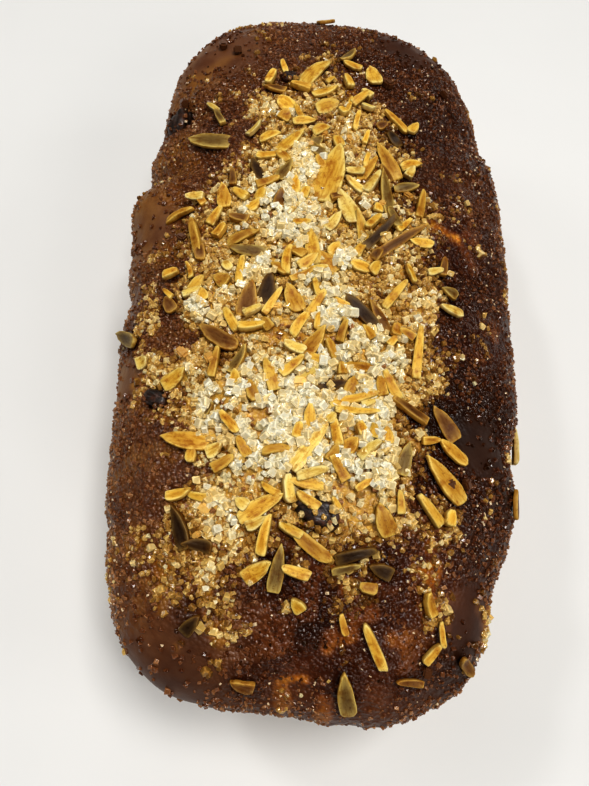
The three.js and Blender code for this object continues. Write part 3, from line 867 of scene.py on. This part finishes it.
def make_crust():
    """Points and faces of the whole crust, and plan places and directions out of its crown."""
    row, column = np.meshgrid(
        np.linspace(-1, 1, CRUST_ALONG + 1), np.linspace(-1, 1, CRUST_ACROSS + 1), indexing="ij"
    )
    x, y = (value.ravel() for value in plan_place(column, row))
    normals = outward(*shares(x, y))
    crown = crust_point(x, y)
    crown = crown + normals * (fine_relief(x, y, crown) + socket_dent(crown))[:, None]
    edge = edge_indices()
    points = np.concatenate([crown, *wall_rings(x[edge], y[edge], normals[edge]), [[0, 0, 0]]])
    faces = grid_faces(CRUST_ALONG + 1, CRUST_ACROSS + 1, False).tolist()
    loops = [edge] + [len(crown) + k * len(edge) + np.arange(len(edge)) for k in range(WALL_STEPS)]
    for above, below in zip(loops, loops[1:]):
        quads = np.stack([above, below, np.roll(below, -1), np.roll(above, -1)], -1)
        faces += quads.tolist()
    last = loops[-1]
    faces += np.stack([last, np.full_like(last, len(points) - 1), np.roll(last, -1)], -1).tolist()
    return points, faces, x, y, normals


def crown_tints(x, y, points):
    """Tints of the crown: darker to the right and towards the near end, partly browning and partly painted
    shade, pale under pale sugar, reddish where sugar melted.
    """
    across, along = shares(x, y)
    pale = ramp(paleness(x, y), 0.15, 0.5)
    melted = spots(x, y, MELTED)
    blotches = ramp(noise3(points / 5), 0.05, 0.3) * (1 - bare(x, y)) * (1 - pale)
    shade = CROWN_TONE + TONE_ACROSS * across + TONE_ALONG * along + 0.06 * noise3(points / 9)
    shade = shade + MARK_TONE * pale_lines(x, y) + GLAZE_TONE * spots(x, y, GLAZE)
    shade = shade + (0.05 + 0.33 * melted) * blotches + PALE_TONE * pale - scorch_and_shade(x, y)
    return tone(CRUST_TONES, np.clip(shade, 0, 1)) * (1 + np.outer(melted, MELTED_TINT))


def wall_tints(points):
    """Tints of the walls and the base, dark under the brow and golden below."""
    high = ramp(points[:, 2], BROW * 0.45, BROW * 0.5)
    shade = 0.75 - 0.7 * high + 0.12 * noise3(points / 14) + 0.08 * noise3(points / 4)
    return tone(WALL_TONES, np.clip(shade, 0, 1))


def melted_sugar(x, y):
    """How much melted sugar lies on the crown, 0 to 1: none on bare crust or past the edge."""
    inside = smooth(1.6 * (1 - plan_reach(*shares(x, y))) + 0.35)
    return (1 - bare(x, y)) * (1 - 0.5 * ramp(paleness(x, y), 0.3, 0.4)) * inside


# Almonds


def stance(x, y, heading, pitch, roll, raised):
    """Frame of a piece that lies on the crust: columns forward, side and out, and its place."""
    x, y = np.float64(x), np.float64(y)
    normal = outward(*shares(x, y))
    turn = math.radians(heading)
    forward = np.array([math.cos(turn), math.sin(turn), 0.0])
    forward = forward - normal * forward.dot(normal)
    forward = forward / np.linalg.norm(forward)
    basis = np.stack([forward, np.cross(normal, forward), normal], -1)
    tilt = Matrix.Rotation(-pitch, 3, "Y") @ Matrix.Rotation(roll, 3, "X")
    return basis @ np.array(tilt), crust_point(x, y) + normal * raised


def almond_form(length, width, thickness, is_slice, bow, cut):
    """A slice with a narrow rim, or a squarer sliver, cut short at one end.

    Gives its points, its faces, how far out from its middle each point is and how deep, 0 to 1.
    """
    out, up = np.array(ALMOND_RIM).T
    spread = np.r_[out, out[::-1]]
    rise = np.r_[up, -up[::-1]] * thickness
    turn = np.linspace(0, 2 * math.pi, ALMOND_SIDES, endpoint=False)
    ragged = 1 + 0.05 * np.sin(3 * turn + 9 * cut) + 0.03 * np.sin(7 * turn + 5 * bow)
    ahead = np.sign(np.cos(turn)) * np.abs(np.cos(turn)) ** (0.9 if is_slice else 0.6) * ragged
    point = 1 + 0.35 * np.cos(turn) if is_slice else 0.5
    aside = np.sign(np.sin(turn)) * np.abs(np.sin(turn)) ** point * ragged
    half = width / 2 * (1 - 0.25 * np.cos(turn))
    ahead = np.maximum(ahead, -cut)
    height = np.repeat(rise[:, None], ALMOND_SIDES, axis=1)
    points = np.stack([np.outer(spread, ahead * length / 2), np.outer(spread, aside * half), height], -1)
    points = points.reshape(-1, 3)
    bend = (2 * points[:, 0] / length) ** 2 - BEND_LEVEL
    points[:, 1] += 0.35 * bow * bend
    points[:, 2] += bow * bend
    depth = 0.5 - rise / thickness
    return points, grid_faces(len(spread), ALMOND_SIDES, True), *np.repeat([spread, depth], ALMOND_SIDES, 1)


def has_room(x, y, placed, spacing):
    return all(math.hypot(x - ox, y - oy) > spacing for ox, oy in placed)


def loose_almonds(draw):
    """Smaller pieces that the solids have too, clear of the placed almonds and the raisins."""
    placed = [almond[:2] for almond in ALMONDS] + [raisin[1:3] for raisin in RAISINS]
    loose = []
    while len(loose) < LOOSE_ALMONDS:
        x, y = draw_place(draw, LOOSE_SPREAD)
        is_wanted = draw() < sugar_cover(x, y) ** 2 + 0.03
        if is_wanted and has_room(x, y, placed, LOOSE_SPACING):
            almond = (x, y, between(draw, 0, 180), between(draw, 5, 9), between(draw, 1.8, 3.6))
            loose.append((*almond, LOOSE_TONES[len(loose) % len(LOOSE_TONES)]))
            placed.append(almond[:2])
    return loose


def almond_chips(rng, known):
    """Small chips between and over the larger almonds, thickest along the middle of the crown."""
    placed = [almond[:2] for almond in known]
    chips = []
    while len(chips) < CHIPS:
        x, y = rng.normal(0, CHIP_REACH[0]), rng.normal(-5, CHIP_REACH[1])
        if has_room(x, y, placed, CHIP_SPACING) and sugar_cover(x, y) > 0.3:
            size = (rng.uniform(0, 180), rng.uniform(3.5, 8), rng.uniform(1.4, 3.2))
            chips.append((x, y, *size, CHIP_TONES[len(chips) % len(CHIP_TONES)]))
            placed.append((x, y))
    return chips


def almond_tints(x, y, shade, out, deep):
    """Tints of one almond: a pale rim, a toasted middle and a foot dark with syrup and painted contact shade.
    """
    face, rim, middle = (surface(colour) for colour in ALMOND_TONES[shade])
    toast = (1 - ramp(out, 0.15, 0.6))[:, None] * (0.5 + 0.5 * noise(x * 3.1, y * 3.1))
    edge = ramp(out, 0.8, 0.14)[:, None]
    tints = (face * (1 - toast) + middle * toast) * (1 - edge) + rim * edge
    tints = tints * (1 - np.outer(ramp(deep, 0, 0.4), FOOT_SYRUP_AND_SHADE))
    return tints * (1 + 0.15 * noise(x / 2, y / 2))


def lay_almond(almond, tilt, raised):
    """One almond as it lies on the crust, tilted by pitch and roll: its mesh, tints and own frame."""
    x, y, heading, length, width, shade = almond
    is_slice = width > BROAD
    thickness = SLICE_THICKNESS if is_slice else width * SLIVER_THICKNESS
    bow = ALMOND_BOW * noise(x * 1.7, y * 1.7)
    cut = 0.92 + 0.3 * noise(x * 2.3, y * 2.3)
    own, faces, out, deep = almond_form(length, width, thickness, is_slice, bow, cut)
    frame, place = stance(x, y, heading, *tilt, 0.3 * thickness + raised)
    points = own @ frame.T + place
    return {
        "points": points + ALMOND_ROUGHNESS * noise3(points / 1.7)[:, None] * frame[:, 2],
        "faces": faces.tolist(),
        "tints": almond_tints(x, y, shade, out, deep),
        "own": own + [0, 0, x + 7 * y],
        "is_slice": is_slice,
        "frame": frame,
        "place": place,
        "reach": np.array([length / 2, width / 2, ALMOND_CLEARANCE]),
    }


def lay_almonds(draw, rng):
    """All almonds as they lie: those of the solids, with the same draws, and then the small ones."""

    def tilt_for(almond):
        return between(draw, 0.02, 0.16 if almond[4] > BROAD else 0.1), between(draw, -0.3, 0.3)

    tilts = [tilt_for(almond) for almond in ALMONDS]
    loose = loose_almonds(draw)
    tilts += [tilt_for(almond) for almond in loose]
    known = [*ALMONDS, *loose]
    laid = [lay_almond(almond, tilt, ALMOND_RISE) for almond, tilt in zip(known, tilts)]
    known += SMALL_ALMONDS
    for almond in [*SMALL_ALMONDS, *almond_chips(rng, known)]:
        tilt = (rng.uniform(-0.15, 0.2), rng.uniform(-0.4, 0.4))
        laid.append(lay_almond(almond, tilt, rng.uniform(*SMALL_RISE)))
    return laid


def make_almonds(material, laid):
    for name, wants_slice in (("almond_slices", True), ("almond_slivers", False)):
        chosen = [almond for almond in laid if almond["is_slice"] is wants_slice]
        counts = [len(almond["points"]) for almond in chosen]
        faces = join_faces([almond["faces"] for almond in chosen], counts)
        points, tints, own = (
            np.concatenate([almond[key] for almond in chosen]) for key in ("points", "tints", "own")
        )
        make_piece(name, points, faces, material, tints=tints, own=own)


# Raisins


def make_raisin(raisin, material):
    node, x, y, heading, radii, depth = raisin
    polar = np.linspace(0, math.pi, RAISIN_SIDES // 2)
    turn = np.linspace(0, 2 * math.pi, RAISIN_SIDES, endpoint=False)
    ahead = np.repeat(np.cos(polar), RAISIN_SIDES)
    aside, above = (np.outer(np.sin(polar), wave(turn)).ravel() for wave in (np.cos, np.sin))
    points = np.stack([ahead, aside, above], -1)
    fold = 1 - FOLD_DEPTH * (1 - ahead**2) * (1 + np.cos(RAISIN_FOLDS * np.arctan2(above, aside) + 2 * ahead))
    wrinkles = np.abs(noise3(points * 3.2 + x)) + 0.5 * np.abs(noise3(points * 7 + y))
    fold = fold + 0.07 * noise3(points * 2.4 + x) - WRINKLE_DEPTH * smooth(1 - 2.5 * wrinkles)
    points = points * radii
    points[:, 1:] *= fold[:, None]
    frame, place = stance(x, y, heading, 0, 0, -depth)
    faces = grid_faces(len(polar), RAISIN_SIDES, True).tolist()
    piece = make_piece(f"{node}_skin", points @ frame.T + place, faces, material)
    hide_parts(node)


# Sugar


def cube_form(bevel=0, segments=1):
    """Corners and faces of a cube of size 1, its edges cut off or rounded by the given bevel."""
    mesh = bmesh.new()
    bmesh.ops.create_cube(mesh, size=1)
    if bevel:
        bmesh.ops.bevel(mesh, geom=mesh.edges, offset=bevel, segments=segments, affect="EDGES")
    return read_form(mesh)


def cut_cube_form():
    """A cube of size 1 with its corners cut off up to the middles of its edges."""
    mesh = bmesh.new()
    for place in np.ndindex(3, 3, 3):
        if place.count(1) == 1:
            mesh.verts.new(np.array(place) / 2 - 0.5)
    bmesh.ops.convex_hull(mesh, input=mesh.verts)
    return read_form(mesh)


def read_form(mesh):
    """Corners and faces of a small mesh, which is freed."""
    mesh.verts.index_update()
    corners = np.array([corner.co for corner in mesh.verts])
    faces = [[corner.index for corner in face.verts] for face in mesh.faces]
    mesh.free()
    return corners, faces


def random_turns(rng, count):
    """Random rotations, as quaternions turned into matrices."""
    quaternion = rng.normal(size=(count, 4))
    a, b, c, d = (quaternion / np.linalg.norm(quaternion, axis=1, keepdims=True)).T
    rows = [
        [1 - 2 * (c * c + d * d), 2 * (b * c - a * d), 2 * (b * d + a * c)],
        [2 * (b * c + a * d), 1 - 2 * (b * b + d * d), 2 * (c * d - a * b)],
        [2 * (b * d - a * c), 2 * (c * d + a * b), 1 - 2 * (b * b + c * c)],
    ]
    return np.stack([np.stack(row, -1) for row in rows], 1)


def scatter(rng, count, weight, crown, faces):
    """Places on the crown spread by area and weight, and the face under each."""
    quads = crown[faces]
    area = np.linalg.norm(np.cross(quads[:, 2] - quads[:, 0], quads[:, 3] - quads[:, 1]), axis=1)
    share = area * weight
    chosen = rng.choice(len(faces), size=count, p=share / share.sum())
    u, v = rng.random((2, count, 1))
    picked = quads[chosen]
    near = picked[:, 0] * (1 - u) + picked[:, 1] * u
    far = picked[:, 3] * (1 - u) + picked[:, 2] * u
    return near * (1 - v) + far * v, chosen


def is_clear(rng, places, laid):
    """Whether each place is clear of the almonds, with a few grains left on top of them."""
    clear = np.ones(len(places), bool)
    for almond in laid:
        local = np.abs((places - almond["place"]) @ almond["frame"]) / almond["reach"]
        clear &= (local.max(axis=1) > 1) | (np.hypot(local[:, 0], local[:, 1]) > 0.95)
    return clear | (rng.random(len(places)) < ALMOND_DUST)


def rest_on_raisins(rng, places):
    """Lifts grains onto the raisins, and says which stay: more round the rims than on the tops."""
    stays = np.ones(len(places), bool)
    for _, x, y, heading, radii, depth in RAISINS:
        frame, place = stance(x, y, heading, 0, 0, -depth)
        local = (places - place) @ frame / radii
        out = np.hypot(local[:, 0], local[:, 1])
        lifted = radii[2] * (np.sqrt(np.clip(1 - out**2, 0, 1)) - local[:, 2])
        is_over = (out < 1) & (np.abs(local[:, 2]) < 2)
        places = places + np.where(is_over, lifted, 0)[:, None] * frame[:, 2]
        stays &= ~is_over | (rng.random(len(places)) < RAISIN_DUST + (1 - RAISIN_DUST) * out**5)
    return places, stays


def make_grains(name, shapes, tints, form, material):
    """One piece of many grains, each a copy of the form with points and a tint of its own."""
    corners, grain_faces = form
    faces = join_faces([grain_faces] * len(shapes), [len(corners)] * len(shapes))
    tints = np.repeat(tints, len(corners), axis=0)
    own = np.tile(corners, (len(shapes), 1))
    points = shapes.reshape(-1, 3)
    make_piece(name, points, faces, material, False, tints, own=own)


def grain_shapes(rng, corners, sizes, places):
    """Corners of grains that are pulled out of shape and turned at random, at their places."""
    count = len(places)
    stretch = rng.uniform(0.7, 1.4, (count, 1, 3))
    shapes = corners[None] * rng.uniform(0.82, 1.12, (count, len(corners), 1)) * stretch
    shapes = np.einsum("nij,nkj->nki", random_turns(rng, count), shapes * sizes[:, None, None])
    return shapes + places[:, None]


def grain_shades(rng, kind, x, y):
    """Where each grain is along the tones of its kind: darker at scorched places, in painted shade and on
    bare crust, and lighter with painted light at the brim.
    """
    across, along = shares(x, y)
    start, slope = kind.shade
    varied = start + slope * paleness(x, y) - scorch_and_shade(x, y) + rng.normal(0, kind.spread, len(x))
    # Painted light at the brim; darker to the right, partly from browning and partly painted shade
    lit = BRIM_PAINTED_LIGHT * ramp(plan_reach(across, along), 0.9, 0.08) - SIDE_SHADE * across
    return np.clip(varied + lit - BARE_SHADE * bare(x, y), 0, kind.palest)


def make_sugar(kind, form, weight, crown, laid, rng):
    """Scatters grains of one kind over the crown, clear of the almonds."""
    points, faces, x, y, normals = crown
    places, chosen = scatter(rng, kind.count, weight, points, faces)
    first = faces[chosen, 0]
    x, y = x[first], y[first]
    pale, on_bare = paleness(x, y), bare(x, y)
    # Painted glints: a share of the grains takes the palest tone
    is_painted_glint = rng.random(kind.count) < kind.bright * (1 - on_bare)
    sizes = rng.uniform(*kind.sizes, kind.count) * (0.75 + 0.4 * pale + 0.25 * on_bare)
    sizes = sizes * np.where(is_painted_glint, PAINTED_GLINT_SIZE, 1)
    stacked = rng.random(kind.count) ** 2 * STACK_HEIGHT * ramp(pale, 0.5, 0.4)
    lift = kind.lift - MELTED_SINK * spots(x, y, MELTED)
    places = places + normals[first] * (sizes * lift + stacked)[:, None]
    keep = is_clear(rng, places, laid)
    places, stays = rest_on_raisins(rng, places)
    keep &= stays
    shapes = grain_shapes(rng, form[0], sizes, places)
    shades = np.where(is_painted_glint, 1, grain_shades(rng, kind, x, y))
    tints = crystal_tone(kind.tones, shades[keep])
    make_grains(f"sugar_{kind.name}", shapes[keep], tints, form, sugar_material(kind))


def sugar_weights(x, y):
    """How thick white, gold and brown grains lie at a plan place."""
    pale = paleness(x, y)
    clusters = ramp(noise(x / 2.4, y / 2.4), 0.42, 0.2)
    open_crust = (1 - bare(x, y) * (0.97 - 0.6 * clusters)) * (1 - np.minimum(pale_lines(x, y), 1))
    glazed = 1 - 0.75 * spots(x, y, GLAZE)
    gathered = ramp(noise(x / 5, y / 5), -0.6, 0.5)
    patchy = 0.4 + 0.6 * ramp(noise(x / 9, y / 9), -0.75, 0.5)
    unmelted = 1 - 0.35 * spots(x, y, MELTED)
    white = ramp(pale, 0.5, 0.4) * gathered + 0.05 * ramp(pale, 0.15, 0.2)
    gold = ramp(pale, 0.12, 0.3) * (1.1 - ramp(pale, 0.5, 0.3))
    brown = 1 - 0.9 * ramp(pale, 0.25, 0.3)
    return white * open_crust * glazed, gold * open_crust * glazed, brown * open_crust * patchy * unmelted


def scatter_sugar(crown, laid):
    _, faces, x, y, _ = crown
    first = faces[:, 0]
    forms = (cube_form(GRAIN_BEVEL), cut_cube_form(), cube_form())
    rng = np.random.default_rng(GRAIN_SEED)
    for kind, form, weight in zip(SUGAR_KINDS, forms, sugar_weights(x[first], y[first])):
        make_sugar(kind, form, weight, crown, laid, rng)


def clump_place(draw):
    """A plan place for a lump of sugar, likelier where the sugar is thick."""
    while True:
        x, y = draw_place(draw, CLUMP_SPREAD)
        is_wanted = draw() <= sugar_cover(x, y) + 0.2
        if is_wanted and plan_reach(*shares(x, y)) <= 0.95:
            return x, y


def make_clumps(draw):
    """The largest lumps of sugar, where the solids have them, with the same draws."""
    form = cube_form(CLUMP_BEVEL, 2)
    shapes, tints = [], []
    for _ in range(CLUMPS):
        x, y = clump_place(draw)
        size = between(draw, *CLUMP_SIZE)
        box = np.array([size, size * between(draw, 0.6, 1), size * 0.7])
        pitch, roll = between(draw, -0.5, 0.5), between(draw, -0.5, 0.5)
        frame, place = stance(x, y, between(draw, 0, 360), pitch, roll, 0.15 * size + CLUMP_RISE)
        shapes.append(form[0] * box @ frame.T + place)
        pale = paleness(x, y)
        is_pale = pale > CLUMP_PALE
        tints.append(crystal_tone(GOLD_TONES, 0.8 * pale) if is_pale else tone(CRUST_TONES, CLUMP_TONE))
    make_grains("sugar_clumps", np.array(shapes), np.array(tints), form, sugar_material(CLUMP_SUGAR))


# Stage


def make_floor():
    shader = Shader("pale_floor", 0.75, 0.2)
    shader.drive("Base Color", shader.mix(shader.noise(60, 2), FLOOR_TONES))
    mesh = bpy.data.meshes.new("floor")
    corners = [(x * FLOOR_REACH, y * FLOOR_REACH, 0) for x, y in ((-1, -1), (1, -1), (1, 1), (-1, 1))]
    mesh.from_pydata(corners, [], [(0, 1, 2, 3)])
    mesh.materials.append(shader.material)
    floor = add_object("floor", mesh)


def make_camera():
    """A camera that stands over the near end and looks down the loaf, rolled a little."""
    data = bpy.data.cameras.new("camera")
    data.sensor_fit = "VERTICAL"
    data.sensor_height = SENSOR
    data.lens = FOCAL_PIXELS / PHOTO_HEIGHT * SENSOR
    data.clip_start = 0.01
    camera = add_object("camera", data)
    aim = Matrix.Translation((Vector(CAMERA_AIM) - Vector((*MIDDLE, 0))) * MM)
    tilt = Matrix.Rotation(math.radians(90 - CAMERA_HEIGHT_ANGLE), 4, "X")
    roll = Matrix.Rotation(math.radians(CAMERA_ROLL), 4, "Z")
    camera.matrix_world = aim @ tilt @ roll @ Matrix.Translation((0, 0, CAMERA_DISTANCE * MM))
    bpy.context.scene.camera = camera


def make_lights():
    for name, place, size, power, colour in LIGHTS:
        data = bpy.data.lights.new(name, "AREA")
        data.size = size
        data.energy = power
        data.color = colour
        light = add_object(name, data)
        light.location = place
        light.rotation_euler = (-Vector(place)).to_track_quat("-Z", "Y").to_euler()
    world = bpy.data.worlds.new("studio")
    world.use_nodes = True
    sky = world.node_tree.nodes["Background"].inputs
    sky["Color"].default_value = SKY_COLOUR
    sky["Strength"].default_value = SKY_LIGHT
    bpy.context.scene.world = world
    bpy.context.scene.view_settings.view_transform = "Standard"
    bpy.context.scene.view_settings.look = "High Contrast"


def main():
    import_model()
    points, faces, x, y, normals = make_crust()
    crown, rest = points[: len(x)], points[len(x) :]
    tints = np.r_[crown_tints(x, y, crown), wall_tints(rest)]
    grain = np.r_[melted_sugar(x, y), np.zeros(len(rest))]
    crust = make_piece("crust", points, faces, crust_material(), tints=tints, grain=grain)
    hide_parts("loaf")
    draw = make_draw(SEED)
    laid = lay_almonds(draw, np.random.default_rng(ALMOND_SEED))
    make_almonds(almond_material(), laid)
    make_clumps(draw)
    skin = raisin_material()
    for raisin in RAISINS:
        make_raisin(raisin, skin)
    crown_faces = grid_faces(CRUST_ALONG + 1, CRUST_ACROSS + 1, False)
    scatter_sugar((crown, crown_faces, x, y, normals), laid)
    make_floor()
    make_camera()
    make_lights()


main()
